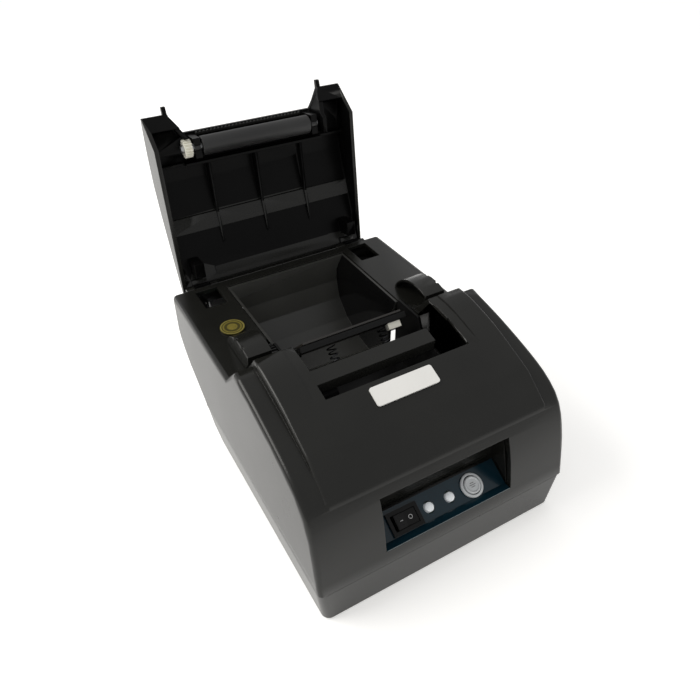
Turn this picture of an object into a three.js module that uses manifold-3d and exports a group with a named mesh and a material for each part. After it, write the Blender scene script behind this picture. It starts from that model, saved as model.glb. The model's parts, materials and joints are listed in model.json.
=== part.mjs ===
// A desktop receipt printer for narrow paper rolls, standing with its paper lid wide open.
// Millimetres. X runs across the printer, Y from the front face to the back, Z up from the table.
// The lid is drawn shut and turned open about its hinge pins.

import * as THREE from 'three';
import { mergeVertices } from 'three/addons/utils/BufferGeometryUtils.js';
import Module from 'manifold-3d';

const wasm = await Module();
wasm.setup();

// Driving dimensions.
const BODY_WIDTH = 130;
const BODY_DEPTH = 163.3;
const WALL = 2.2;
const GAP = 0.3;
const FLOOR_Z = 1.2;
const SEAM_Z = 21;
const DECK_Z = 70.4;
const CREST = { y: 74.5, z: 86.2 };
const STEP_FOOT_Y = 87.3;
const CENTRE_HALF = 55.5;
const GROOVE_WIDTH = 1.2;
const GROOVE_DEPTH = 1.6;
const MOUTH_HALF = 36.5;
const TRAY_DEPTH = 129.4;
const TRAY_TAPER = { x: 0.045, y: 0.02 };
const MOUTH = { front: 58.5, back: 157.3 };
const SLOT = { front: 43.5, back: 51 };
const BUCKET_HALF = 31;
const BUCKET_WALL = 1.6;
const HINGE = { y: 166.5, z: 67 };
const KNUCKLE_RADIUS = 2.6;
const PIN_HOLE_RADIUS = 1.5;
const LID_OPEN_ANGLE = THREE.MathUtils.degToRad(97.5);
const LID_HALF = 56.8;
const LID_RIM_Z = 71;
const LIP_Y = 85.8;
const NOTCH_HALF = 43.2;
const LIP_HALF = 36.5;
const PLATEN = { y: 92, z: 77.2, radius: 5, half: 31 };
const SHAFT_RADIUS = 2;
const GEAR_X = [-40.5, -36.6];
const TOOTH_HEIGHT = { root: 1.2, tip: 0.95 };
const TOOTH_MODULE = 0.5;
const BACKLASH = 0.15;
const DRIVE = { y: 94.7, z: 65.1, teeth: 28 };
const PLATEN_GEAR_TEETH = 17;
const IDLER_TEETH = 30;
const PINION_TEETH = 12;
const PANEL = { y: 4.2, z: 25.8, tilt: THREE.MathUtils.degToRad(30), depth: 13.4 };
const ROCKER = { x: -18.9, u: 6.6, width: 15.3, depth: 10 };
const LED_X = [-6, 5];
const LED_U = 6.6;
const FEED_KEY = { x: 17, u: 6.8, radius: 3.9 };
const FEET = { x: 50, y: [14, 110], radius: 5 };
const SCREWS = { x: 57.5, y: [30, 92] };

// Materials.
function paint(color, roughness, metalness = 0) {
  return new THREE.MeshStandardMaterial({ color, roughness, metalness });
}
const SHELL = () => paint(0x1b1b19, 0.5);
const GLOSSY = () => paint(0x101012, 0.25);
const STEEL = () => paint(0x9a9da0, 0.35, 1);
const RUBBER = () => paint(0x202022, 0.8);
const IVORY = () => paint(0xe9e6da, 0.5);
const BOARD = () => paint(0x1d5a36, 0.6);

// Solids: every helper returns a manifold body in the printer's own frame.
const AXES = {
  x: new THREE.Vector3(1, 0, 0),
  y: new THREE.Vector3(0, 1, 0),
  z: new THREE.Vector3(0, 0, 1),
};

function solid(geometry) {
  const bare = geometry.clone();
  bare.deleteAttribute('normal');
  bare.deleteAttribute('uv');
  const merged = mergeVertices(bare, 1e-4);
  const vertProperties = new Float32Array(merged.attributes.position.array);
  const triVerts = new Uint32Array(merged.index.array);
  return new wasm.Manifold(new wasm.Mesh({ numProp: 3, vertProperties, triVerts }));
}

function geometryOf(body) {
  const { vertProperties, triVerts } = body.getMesh();
  const geometry = new THREE.BufferGeometry();
  geometry.setAttribute('position', new THREE.BufferAttribute(vertProperties, 3));
  geometry.setIndex(new THREE.BufferAttribute(triVerts, 1));
  geometry.computeVertexNormals();
  return geometry;
}

function block(x, y, z) {
  const geometry = new THREE.BoxGeometry(x[1] - x[0], y[1] - y[0], z[1] - z[0]);
  geometry.translate((x[0] + x[1]) / 2, (y[0] + y[1]) / 2, (z[0] + z[1]) / 2);
  return solid(geometry);
}

function outline(points) {
  return new THREE.Shape(points.map(([a, b]) => new THREE.Vector2(a, b)));
}

function extrusion(shape, depth, round) {
  return new THREE.ExtrudeGeometry(shape, {
    depth: depth - 2 * round,
    curveSegments: 6,
    bevelEnabled: round > 0,
    bevelThickness: round,
    bevelSize: round,
    bevelOffset: -round,
    bevelSegments: 3,
  }).translate(0, 0, round);
}

// A (y, z) outline swept across the printer.
function across(points, x, round = 0) {
  const shape = Array.isArray(points) ? outline(points) : points;
  const geometry = extrusion(shape, x[1] - x[0], round);
  geometry.applyMatrix4(new THREE.Matrix4().makeBasis(AXES.y, AXES.z, AXES.x));
  return solid(geometry.translate(x[0], 0, 0));
}

// An (x, z) outline swept from front to back.
function lengthwise(points, y) {
  const geometry = extrusion(outline(points), y[1] - y[0], 0);
  geometry.applyMatrix4(new THREE.Matrix4().makeBasis(AXES.x, AXES.z, AXES.y.clone().negate()));
  return solid(geometry.translate(0, y[1], 0));
}

// An (x, y) outline raised from z[0] to z[1].
function upright(points, z) {
  const shape = Array.isArray(points) ? outline(points) : points;
  return solid(extrusion(shape, z[1] - z[0], 0).translate(0, 0, z[0]));
}

function rod(radius, x, y, z, sides = 20) {
  const geometry = new THREE.CylinderGeometry(radius, radius, x[1] - x[0], sides);
  return solid(geometry.rotateZ(Math.PI / 2).translate((x[0] + x[1]) / 2, y, z));
}

function peg(radius, x, y, z, sides = 16) {
  const geometry = new THREE.CylinderGeometry(radius, radius, z[1] - z[0], sides);
  return solid(geometry.rotateX(Math.PI / 2).translate(x, y, (z[0] + z[1]) / 2));
}

function joined(...bodies) {
  return bodies.reduce((whole, next) => whole.add(next));
}

function cut(body, ...tools) {
  return tools.reduce((rest, tool) => rest.subtract(tool), body);
}

const mirrored = ([a, b]) => [-b, -a];
const bothSides = (make, x) => joined(make(x), make(mirrored(x)));

function roundedSquare(width, depth, radius) {
  const shape = new THREE.Shape();
  const a = width / 2;
  const b = depth / 2;
  shape.moveTo(-a + radius, -b);
  shape.lineTo(a - radius, -b);
  shape.absarc(a - radius, -b + radius, radius, -Math.PI / 2, 0);
  shape.absarc(a - radius, b - radius, radius, 0, Math.PI / 2);
  shape.absarc(-a + radius, b - radius, radius, Math.PI / 2, Math.PI);
  shape.absarc(-a + radius, -b + radius, radius, Math.PI, 1.5 * Math.PI);
  return shape;
}

// The printer stands in this group, with the turning parts in groups of their own.
const printer = new THREE.Group();

function place(name, body, material, group = printer) {
  const geometry = body.isBufferGeometry ? body : geometryOf(body);
  const mesh = new THREE.Mesh(geometry, material);
  mesh.name = name;
  group.add(mesh);
  return mesh;
}

// Side outlines of the body, from the front seam over the top to the back.
const tail = [
  [163.3, 50],
  [161.5, 45.5],
  [157.3, 39.5],
  [149.2, 32.4],
  [140.4, 27.3],
  [130, SEAM_Z],
];
const railCurve = [
  [0, SEAM_Z],
  [4, 43],
  [9.3, 57.5],
  [17.3, 65.5],
  [29.5, 71.3],
  [51.9, 78],
  [70.2, 82],
  [CREST.y, 83],
];
const brow = [10.6, 61.5];
const centreCurve = [
  [23, 71.5],
  [45, 80.4],
  [60, 84.6],
  [68, 86],
  [CREST.y, CREST.z],
];
const deckEnd = [
  [STEP_FOOT_Y, DECK_Z],
  [BODY_DEPTH, DECK_Z],
];

// A smooth curve through outline points, keeping its first and last ones.
function faired(points, steps) {
  return new THREE.SplineCurve(points.map(([y, z]) => new THREE.Vector2(y, z)))
    .getSpacedPoints(steps)
    .map(({ x, y }) => [x, y]);
}

const railTop = faired(railCurve, 20);
const centreTop = [[0, SEAM_Z], brow, ...faired(centreCurve, 12)];
const sunk = (points, drop) => points.map(([y, z]) => [y, Math.max(z - drop, SEAM_Z)]);

function bodyOutside() {
  const half = BODY_WIDTH / 2;
  const below = [[0, SEAM_Z - 4], ...railTop, ...deckEnd, ...tail, [130, SEAM_Z - 4]];
  const rails = across(below, [-half, half], 2.4);
  const valley = CENTRE_HALF + GROOVE_WIDTH;
  const lowered = [...sunk(railTop, GROOVE_DEPTH), [STEP_FOOT_Y, DECK_Z]];
  const above = [[STEP_FOOT_Y, DECK_Z + 20], [10, 100], [-5, 60]];
  const trench = across([...railTop.slice(1), ...above], [-valley, valley]);
  const core = across([...lowered, ...deckEnd, ...tail], [-valley - 1, valley + 1]);
  const centre = across([...centreTop, ...deckEnd, ...tail], [-CENTRE_HALF, CENTRE_HALF], 1.2);
  const under = block([-half - 1, half + 1], [-1, 170], [SEAM_Z - 10, SEAM_Z]);
  return cut(joined(cut(rails, trench), core, centre), under);
}

function bodyCavity() {
  const side = BODY_WIDTH / 2 - WALL;
  const rails = [
    [2.3, SEAM_Z - 1],
    [6.3, 43],
    [12, 56.5],
    [18.3, 62.8],
    [30, 68.6],
    [60, 76.8],
    [74, 79.6],
    [85, DECK_Z - WALL],
    [161, DECK_Z - WALL],
    [161, 46.5],
    [130, SEAM_Z - 1],
  ];
  const centre = [
    [2.3, SEAM_Z - 1],
    [12.6, 60.4],
    [24, 69.4],
    [45, 78],
    [60, 82.3],
    [73.4, 84],
    [85, DECK_Z - WALL],
    [161, DECK_Z - WALL],
    [161, 46.5],
    [130, SEAM_Z - 1],
  ];
  return joined(across(rails, [-side, side]), across(centre, [-CENTRE_HALF + WALL, CENTRE_HALF - WALL]));
}

// The bar between the front slot and the mouth, free at its right end.
const BAR_END = 23.5;
const barBelly = [
  [SLOT.back, 76.5],
  [SLOT.back, 81.6],
  [MOUTH.front, 83.6],
  [MOUTH.front, 76.5],
];

// The middle of the top sinks a little towards the crest, between two fine steps.
const TONGUE_HALF = 42;
const tongue = [
  [38, 77.9],
  [45, 80.3],
  [60, 84.1],
  [68, 85.3],
  [CREST.y + 0.4, 85.4],
  [CREST.y + 3, 86.5],
  [CREST.y + 3, 95],
  [38, 95],
];

// An arched cover over each end of the platen, open towards the paper.
const HOOD_X = [42.2, 54.2];

function bearingHood(side) {
  const arch = (drop) => [
    [84.4, 75.6],
    [84.4, 79.6 - drop],
    [90, 81 - drop],
    [96, 81.2 - drop],
    [101, 80.2 - drop],
    [105 - drop / 4, 78.3 - drop],
    [108.4 - drop / 2, 75.6 - drop / 2],
    [110.6 - drop, 73 - drop / 4],
    [111.6 - drop, DECK_Z + GAP],
  ];
  const foot = [88.4, DECK_Z + GAP];
  const x = side > 0 ? HOOD_X : mirrored(HOOD_X);
  const hollowX = side > 0 ? [x[0] - 1, x[1] - 1.5] : [x[0] + 1.5, x[1] + 1];
  const ventX = side > 0 ? [x[1] - 1.2, x[1] + 1] : [x[0] - 1, x[0] + 1.2];
  const mouthY = 86;
  const vault = arch(1.5).map(([y, z]) => [Math.max(y, mouthY), z]);
  const hollow = [...vault, [110.1, DECK_Z - 1], [mouthY, DECK_Z - 1]];
  return cut(
    across([...arch(0), foot], x, 0.4),
    across(hollow, hollowX),
    block(ventX, [89.8, 92], [78.6, 84]),
    block(ventX, [98.4, 100.6], [78.6, 84])
  );
}

function topCase() {
  const side = BODY_WIDTH / 2 - WALL;
  const pocketX = [41, 53];
  let body = cut(bodyOutside(), bodyCavity());
  const posts = (x) => joined(...SCREWS.y.map((y) => block(x, [y - 3.5, y + 3.5], [SEAM_Z, 60])));
  const knuckleArm = (x) => block(x, [BODY_DEPTH - 1.5, HINGE.y], [HINGE.z - 2.6, HINGE.z + 1.8]);
  const knuckles = (x) => joined(rod(KNUCKLE_RADIUS, x, HINGE.y, HINGE.z), knuckleArm(x));
  body = joined(
    body,
    across(barBelly, [-40, BAR_END], 0.6),
    bothSides(posts, [SCREWS.x - 3.5, BODY_WIDTH / 2 - 1]),
    bothSides(knuckles, [38, 42.4]),
    bothSides(knuckles, [51.6, 56])
  );
  const gearSlot = block([-42.4, -MOUTH_HALF + 1], [86.6, 104], [DECK_Z - 6, DECK_Z + 1]);
  const pockets = (x) => block(x, [143.5, 160], [DECK_Z - 6, DECK_Z + 1]);
  const pinHoles = (x) => rod(PIN_HOLE_RADIUS, x, HINGE.y, HINGE.z);
  const screwHoles = SCREWS.y.flatMap((y) => [1, -1].map((s) => peg(1.6, s * SCREWS.x, y, [SEAM_Z - 1, 42])));
  return cut(
    body,
    block([-MOUTH_HALF, MOUTH_HALF], [MOUTH.front, MOUTH.back], [60, 95]),
    block([-37, 37], [SLOT.front, SLOT.back], [60, 95]),
    block([BAR_END, 37], [SLOT.back - 1, MOUTH.front + 1], [60, 95]),
    across(tongue, [-TONGUE_HALF, TONGUE_HALF]),
    block([-33, 33], [-1, 24], [27.8, 54]),
    gearSlot,
    bothSides(pockets, pocketX),
    bothSides(pinHoles, [37, 57]),
    across([[130, 15], [175, 15], [175, 49.9], [158.4, 49.9], [128, 23]], [-side, side]),
    ...screwHoles,
    block(SOCKETS.power.hole, [158, 165], SOCKETS.power.z),
    block(SOCKETS.data.hole, [158, 165], SOCKETS.data.z),
    block(SOCKETS.drawer.hole, [158, 165], SOCKETS.drawer.z)
  );
}

// The tray under the seam narrows a little towards its floor.
function baseTray() {
  const tray = (inset, z0, z1) => {
    const shape = roundedSquare(BODY_WIDTH - 2 * inset, TRAY_DEPTH - 2 * inset, 4 - inset);
    const geometry = extrusion(shape, z1 - z0, 0).translate(0, TRAY_DEPTH / 2, z0);
    const p = geometry.attributes.position;
    for (let i = 0; i < p.count; i += 1) {
      const below = 1 - p.getZ(i) / SEAM_Z;
      p.setX(i, p.getX(i) * (1 - TRAY_TAPER.x * below));
      p.setY(i, TRAY_DEPTH / 2 + (p.getY(i) - TRAY_DEPTH / 2) * (1 - TRAY_TAPER.y * below));
    }
    return solid(geometry);
  };
  const top = SEAM_Z - GAP;
  const heel = across([[116, FLOOR_Z - 1], [140, FLOOR_Z - 1], [140, SEAM_Z]], [-80, 80]);
  const heelInside = across([[112.8, FLOOR_Z + WALL], [112.8, 30], [135, 30], [135, 21.2]], [-62, 62]);
  const outer = cut(tray(0.1, FLOOR_Z, top), heel);
  const hollow = cut(tray(WALL, FLOOR_Z + WALL, top + 1), block([-70, 70], [112.8, 135], [0, 30]));
  const bosses = [55, 95].flatMap((y) => [-30, 30].map((x) => peg(3, x, y, [FLOOR_Z + 1, 33.7])));
  const nests = FEET.y.flatMap((y) => [-1, 1].map((s) => peg(FEET.radius + 0.3, s * FEET.x, y, [0, 2.2])));
  const screwWells = SCREWS.y.flatMap((y) =>
    [-1, 1].map((s) => joined(peg(3.2, s * SCREWS.x, y, [0, 3.6]), peg(1.6, s * SCREWS.x, y, [0, 25])))
  );
  const tubeZ = [FLOOR_Z + 1, SEAM_Z - 1];
  const screwTubes = SCREWS.y.flatMap((y) => [-1, 1].map((s) => peg(4.4, s * SCREWS.x, y, tubeZ)));
  return cut(joined(cut(outer, hollow, heelInside), ...bosses, ...screwTubes), ...nests, ...screwWells);
}

// The sloping cover that closes the tail between the side walls.
function tailCover() {
  const side = BODY_WIDTH / 2 - WALL - GAP;
  const sheet = [
    [131, 22.6],
    [140.2, 28.2],
    [148.6, 33.2],
    [156.2, 40.2],
    [160.6, 46.4],
    [160.6, 49.5],
    [158.8, 49.5],
    [158.8, 47],
    [155, 41.5],
    [147.5, 34.8],
    [139.3, 29.9],
    [130.2, 24.2],
  ];
  return across(sheet, [-side, side]);
}

function paperBucket() {
  const inside = [
    [98, 72],
    [155.5, 72],
    [155.5, 54],
    [152.2, 43.4],
    [143, 34.6],
    [133, 29.8],
    [119, 27.4],
    [107, 34],
    [101.2, 44],
    [98, 46],
  ];
  const outside = [
    [99.2, 70],
    [157, 70],
    [157, 53.8],
    [153.5, 42.6],
    [143.7, 33.3],
    [133.4, 28.3],
    [118.6, 25.8],
    [105.6, 33],
    [99.2, 45.6],
  ];
  const flareFoot = 61.5;
  const flare = (s, top, bottom, rise) => [
    [-s - top, 70 + rise],
    [-s - bottom, flareFoot],
    [s + bottom, flareFoot],
    [s + top, 70 + rise],
  ];
  const body = joined(
    across(outside, [-BUCKET_HALF - BUCKET_WALL, BUCKET_HALF + BUCKET_WALL]),
    lengthwise(flare(BUCKET_HALF, 5.1, BUCKET_WALL, 0), [99.2, 157])
  );
  return cut(
    body,
    across(inside, [-BUCKET_HALF, BUCKET_HALF]),
    lengthwise(flare(BUCKET_HALF, 4.4, 0, 1.5), [98, 155.5])
  );
}

// A smooth sloping guide seen through the front slot.
function paperGuide() {
  return joined(
    across([[40, 73.5], [41.4, 74.2], [57.5, 61], [57.5, 59.2]], [-32, 33]),
    across([[45, 69], [57.5, 61], [57.5, 52], [45, 60]], [-32, -30.5]),
    across([[45, 69], [57.5, 61], [57.5, 52], [45, 60]], [31.5, 33])
  );
}

// Two steel side plates on a floor and a front wall carry the print mechanism.
function mechanismFrame() {
  const cheek = [
    [48, 34],
    [98.6, 34],
    [98.6, 70],
    [97, 72.4],
    [79.5, 72.4],
    [77, 67],
    [66, 62],
    [48, 61],
  ];
  const plates = joined(across(cheek, [-36.2, -35]), across(cheek, [35, 36.2]));
  const floor = block([-36, 36], [48, 98.6], [34, 35.2]);
  const wall = block([-36, 36], [48, 49.2], [34, 46]);
  const studs = joined(
    rod(1.4, [-41.8, -35.5], DRIVE.y, DRIVE.z),
    rod(1.4, [-41.8, -35.5], idlerCentre.y, idlerCentre.z)
  );
  const motorHole = rod(3.9, [-37, -34], pinionCentre.y, pinionCentre.z);
  const springSeat = across([[69, 60], [71.5, 62.5], [70.4, 63.6], [67.9, 61.1]], [-35.5, 35.5]);
  return cut(joined(plates, floor, wall, studs, springSeat), motorHole);
}

// Gears in a plane beside the left cheek. Each is drawn about the X axis at its own centre.
const pitchRadius = (teeth) => (teeth * TOOTH_MODULE) / 2;
const meshDistance = (a, b) => pitchRadius(a) + pitchRadius(b) + BACKLASH;

function along(from, direction, distance) {
  const length = Math.hypot(...direction);
  return { y: from.y + (direction[0] / length) * distance, z: from.z + (direction[1] / length) * distance };
}
const idlerCentre = along(DRIVE, [-0.8, -0.6], meshDistance(DRIVE.teeth, IDLER_TEETH));
const pinionCentre = along(idlerCentre, [-0.75, -0.66], meshDistance(IDLER_TEETH, PINION_TEETH));

function gearGeometry(teeth, boreRadius, phase) {
  const pitch = pitchRadius(teeth);
  const shape = new THREE.Shape();
  const step = (2 * Math.PI) / teeth;
  const corners = [
    [-0.27, pitch - TOOTH_HEIGHT.root * TOOTH_MODULE],
    [-0.12, pitch + TOOTH_HEIGHT.tip * TOOTH_MODULE],
    [0.12, pitch + TOOTH_HEIGHT.tip * TOOTH_MODULE],
    [0.27, pitch - TOOTH_HEIGHT.root * TOOTH_MODULE],
  ];
  for (let i = 0; i < teeth; i += 1) {
    corners.forEach(([share, radius], k) => {
      const angle = phase + (i + share) * step;
      const point = [radius * Math.cos(angle), radius * Math.sin(angle)];
      if (i + k === 0) shape.moveTo(...point);
      else shape.lineTo(...point);
    });
  }
  shape.holes.push(new THREE.Path().absarc(0, 0, boreRadius, 0, 2 * Math.PI, true));
  const width = GEAR_X[1] - GEAR_X[0];
  const geometry = new THREE.ExtrudeGeometry(shape, { depth: width, curveSegments: 8, bevelEnabled: false });
  return geometry.applyMatrix4(new THREE.Matrix4().makeBasis(AXES.y, AXES.z, AXES.x));
}

// The direction from a to b, with a tooth of a pointing at b and a gap of b pointing back.
const bearing = (a, b) => Math.atan2(b.z - a.z, b.y - a.y);

function placeGear(name, teeth, centre, phase, bore, material, group = printer) {
  const mesh = place(name, gearGeometry(teeth, bore, phase), material, group);
  mesh.position.set(GEAR_X[0], centre.y, centre.z);
  return mesh;
}

function thermalHead() {
  const ceramic = [[84.4, 77.3], [92.2, 69.5], [91.5, 68.8], [83.7, 76.6]];
  return across(ceramic, [-27, 27]);
}

const headPivot = { y: 95, z: 63.4 };

// A small optical sensor on the sloping rail behind the paper guide.
function paperSensor() {
  return across([[67.65, 61.35], [70.15, 63.85], [68.35, 65.65], [65.85, 63.15]], [-4, 4]);
}

function heatSink() {
  const plate = [[83.4, 76.2], [94, 65.6], [92, 63.6], [81.4, 74.2]];
  const eyes = (x) => rod(2.7, x, headPivot.y, headPivot.z);
  const bore = rod(1.6, [-32, 32], headPivot.y, headPivot.z);
  return cut(joined(across(plate, [-29, 29]), bothSides(eyes, [24, 29])), bore);
}

function headConnector() {
  return across([[81.55, 73.55], [84.05, 71.05], [81.8, 68.8], [79.3, 71.3]], [18, 25]);
}

// A coil spring pressed between the frame and the heat sink.
function headSpring() {
  const turns = 6;
  const length = 13.2;
  const points = [];
  for (let i = 0; i <= turns * 8; i += 1) {
    const angle = (i / 8) * 2 * Math.PI;
    points.push(new THREE.Vector3(2.2 * Math.cos(angle), 2.2 * Math.sin(angle), (i / (turns * 8)) * length));
  }
  const wire = new THREE.Shape().absarc(0, 0, 0.35, 0, 2 * Math.PI);
  return new THREE.ExtrudeGeometry(wire, {
    steps: turns * 8,
    curveSegments: 2,
    bevelEnabled: false,
    extrudePath: new THREE.CatmullRomCurve3(points),
  });
}

// Boards and sockets.
const SOCKETS = {
  power: { hole: [-58.3, -47.7], z: [50.2, 61.8] },
  data: { hole: [-46.3, -34.7], z: [50.2, 61.8] },
  drawer: { hole: [40.7, 54.3], z: [50.2, 61.8] },
};

function socket({ hole, z }, depth) {
  const x = [hole[0] + GAP, hole[1] - GAP];
  return block(x, [BODY_DEPTH - depth, BODY_DEPTH - 0.2], [z[0] + GAP, z[1] - GAP]);
}

function powerInlet() {
  const centre = (SOCKETS.power.hole[0] + SOCKETS.power.hole[1]) / 2;
  const ring = new THREE.Shape().absarc(0, 0, 3.2, 0, 2 * Math.PI);
  ring.holes.push(new THREE.Path().absarc(0, 0, 1, 0, 2 * Math.PI, true));
  const well = extrusion(ring, 9, 0).rotateX(Math.PI / 2).translate(centre, BODY_DEPTH, 56);
  return cut(socket(SOCKETS.power, 13), solid(well));
}

function dataSocket() {
  const centre = (SOCKETS.data.hole[0] + SOCKETS.data.hole[1]) / 2;
  const well = block([centre - 4.2, centre + 4.2], [154, 164], [52, 60]);
  const tongue = block([centre - 2.6, centre + 2.6], [152, 161.5], [55, 57.4]);
  return cut(socket(SOCKETS.data, 15), cut(well, tongue));
}

function drawerSocket() {
  const centre = (SOCKETS.drawer.hole[0] + SOCKETS.drawer.hole[1]) / 2;
  return cut(
    socket(SOCKETS.drawer, 16),
    block([centre - 4.8, centre + 4.8], [151, 164], [53, 59.6]),
    block([centre - 1.6, centre + 1.6], [158, 164], [51.6, 54])
  );
}

function mainBoard() {
  return joined(
    block([-25, 25], [60, 90], [5, 6.6]),
    block([-9, 3], [68, 80], [6, 8.4]),
    block([10, 20], [64, 72], [6, 10]),
    peg(4, -17, 70, [6, 15], 20),
    peg(3, -16, 82, [6, 13], 20)
  );
}

function ioBoard(x) {
  return block(x, [144.6, 146.2], [47.4, 64.6]);
}

function stepperMotor() {
  return joined(
    rod(9, [-34.6, -17], pinionCentre.y, pinionCentre.z, 32),
    rod(1, [-41.6, -34], pinionCentre.y, pinionCentre.z),
    rod(3.5, [-17.5, -15.5], pinionCentre.y, pinionCentre.z)
  );
}

// The control window: a tub behind the front wall, with its floor tilted towards the user.
function panelTub() {
  const c = [
    [4, 23.9],
    [17.6, 31.8],
    [18.4, 32.6],
    [18.4, 56.2],
    [12, 56.2],
    [12, 54.6],
    [16.8, 54.6],
    [16.8, 33],
    [4, 25.6],
  ];
  const ends = [[4, 23.9], [18.4, 32.2], [18.4, 56.2], [12, 56.2]];
  return cut(
    joined(across(c, [-35, 35]), across(ends, [-35, -33.6]), across(ends, [33.6, 35])),
    ...panelOpenings(1, -4, 6).map(tilted)
  );
}

function tilted(geometry) {
  return solid(geometry.rotateX(PANEL.tilt).translate(0, PANEL.y, PANEL.z));
}

// Openings for the rocker, the two lamps and the feed key, in the panel's own frame.
function panelOpenings(clearance, v0, v1) {
  const height = v1 - v0;
  const middle = (v0 + v1) / 2;
  const disc = (radius, x, u) =>
    new THREE.CylinderGeometry(radius, radius, height, 20).rotateX(Math.PI / 2).translate(x, u, middle);
  return [
    new THREE.BoxGeometry(ROCKER.width - 1 + clearance, ROCKER.depth - 1.4 + clearance, height).translate(
      ROCKER.x,
      ROCKER.u,
      middle
    ),
    ...LED_X.map((x) => disc(2.4 + clearance / 2, x, LED_U)),
    disc(FEED_KEY.radius + 0.4 + clearance / 2, FEED_KEY.x, FEED_KEY.u),
  ];
}

const panel = new THREE.Group();
panel.position.set(0, PANEL.y, PANEL.z);
panel.rotation.x = PANEL.tilt;
printer.add(panel);

function controlPlate() {
  const sheet = block([-33, 33], [0.1, PANEL.depth], [0.35, 1.2]);
  return cut(sheet, ...panelOpenings(0.6, -1, 3).map(solid));
}

function rockerHousing() {
  const { x, u, width, depth } = ROCKER;
  const flange = block([x - width / 2, x + width / 2], [u - depth / 2, u + depth / 2], [1.5, 2.5]);
  const w = width / 2 - 0.8;
  const d = depth / 2 - 1;
  const shaft = block([x - w, x + w], [u - d, u + d], [-6.5, 2]);
  return cut(joined(flange, shaft), block([x - w + 0.8, x + w - 0.8], [u - d + 0.7, u + d - 0.7], [-5.2, 3]));
}

function rockerKey() {
  const half = 5.6;
  const key = [
    [-half, -0.6],
    [0, -1.8],
    [half, -0.6],
    [half, 2.6],
    [half - 0.5, 2.9],
    [0, 1.7],
    [-half + 0.5, 2.9],
    [-half, 2.6],
  ];
  const geometry = extrusion(outline(key), 6.2, 0);
  geometry.applyMatrix4(new THREE.Matrix4().makeBasis(AXES.x, AXES.z, AXES.y.clone().negate()));
  return solid(geometry.translate(0, 3.1, 0));
}

function turned(profile, sides = 20) {
  const points = profile.map(([r, z]) => new THREE.Vector2(r, z));
  return new THREE.LatheGeometry(points, sides).rotateX(Math.PI / 2);
}

function ledLens() {
  return turned([[0, -4.4], [2.1, -4.4], [2.1, 1.6], [1.9, 2], [1.2, 2.35], [0, 2.5]]);
}

function keyRing() {
  return turned([[4.3, 1.5], [5.5, 1.5], [5.5, 2.1], [5, 2.6], [4.3, 2.6], [4.3, 1.5]]);
}

function feedKey() {
  const r = FEED_KEY.radius;
  return turned([[0, -1.4], [2, -1.4], [2, 0], [r, 0], [r, 2.7], [r - 0.5, 3.1], [2.4, 3.2], [0, 2.9]]);
}

function panelBoard() {
  return block([-10, 26], [1.4, 12.6], [-6.4, -5]);
}

// The lid, drawn shut.
const lid = new THREE.Group();
lid.position.set(0, HINGE.y, HINGE.z);
lid.rotation.x = -LID_OPEN_ANGLE;
printer.add(lid);
const lidParts = new THREE.Group();
lidParts.position.set(0, -HINGE.y, -HINGE.z);
lid.add(lidParts);

const lidTop = [
  [168.4, 72],
  [168, 73.6],
  [152, 78.6],
  [125, 86],
  [110, 88.8],
  [95, 89],
  [82, 87.9],
  [75.2, 86.9],
];

function noseWall(side) {
  const back = side > 0 ? 97 : 86.6;
  const plan = [
    [43.2, 71.6],
    [43.2, 76],
    [37.6, 86.4],
    [37.6, back],
    [39.8, back],
    [39.8, 86.9],
    [45.4, 76.6],
    [45.4, 71.6],
  ].map(([x, y]) => [side * x, y]);
  const height = [
    [71.6, 87.1],
    [75.4, 86.2],
    [88.8, LID_RIM_Z],
    [98, LID_RIM_Z],
    [98, 88.6],
    [82, 88.3],
    [71.6, 89],
  ];
  return upright(plan, [LID_RIM_Z - 1, 90]).intersect(across(height, [-50, 50]));
}

function lidRibs() {
  const inner = LID_HALF - 1;
  const under = 0.8;
  const roof = (y) => {
    const k = lidTop.findIndex(([py]) => py < y);
    const [[y1, z1], [y0, z0]] = [lidTop[k - 1], lidTop[k]];
    return z0 + ((z1 - z0) * (y - y0)) / (y1 - y0) - under;
  };
  const bar = (x, y, low) => across([[y[0], low], [y[1], low], [y[1], roof(y[1])], [y[0], roof(y[0])]], x);
  const runnerSide = [[102, 80.5], [103, roof(103)], [150, roof(150)], [146, 76.8], [130, 80]];
  const runner = (x) => across(runnerSide, [x - 0.7, x + 0.7]);
  const earRibs = (x) => bar(x, [82.4, 83.6], 83);
  const lugs = (x) => block(x, [150.5, 158.5], [64.6, 75.6]);
  const brackets = (x) => across([[87, 73.8], [97.4, 73.8], [97.4, roof(97.4)], [87, roof(87)]], x);
  const knuckles = (x) =>
    joined(
      rod(KNUCKLE_RADIUS, x, HINGE.y, HINGE.z),
      across([[164.2, 67.5], [168.9, 67], [168.9, 71], [168, 73], [162, 74.5], [162, 71.2], [164.2, 70.8]], x)
    );
  return joined(
    bar([-inner, inner], [100.4, 101.8], 82.4),
    bar([-40, 40], [100.4, 101.8], 79),
    across([[129.5, 81.4], [138, 79.2], [138, roof(138)], [129.5, roof(129.5)]], [-inner, inner]),
    across([[158, 73.4], [166, 72.4], [166, roof(166)], [158, roof(158)]], [-36, 36]),
    ...[-27, 0, 27].map(runner),
    bothSides(earRibs, [44, inner]),
    bothSides(lugs, [44.4, 49.6]),
    bothSides(brackets, [31.9, 35.5]),
    bothSides(knuckles, [42.8, 51.2])
  );
}

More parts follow.
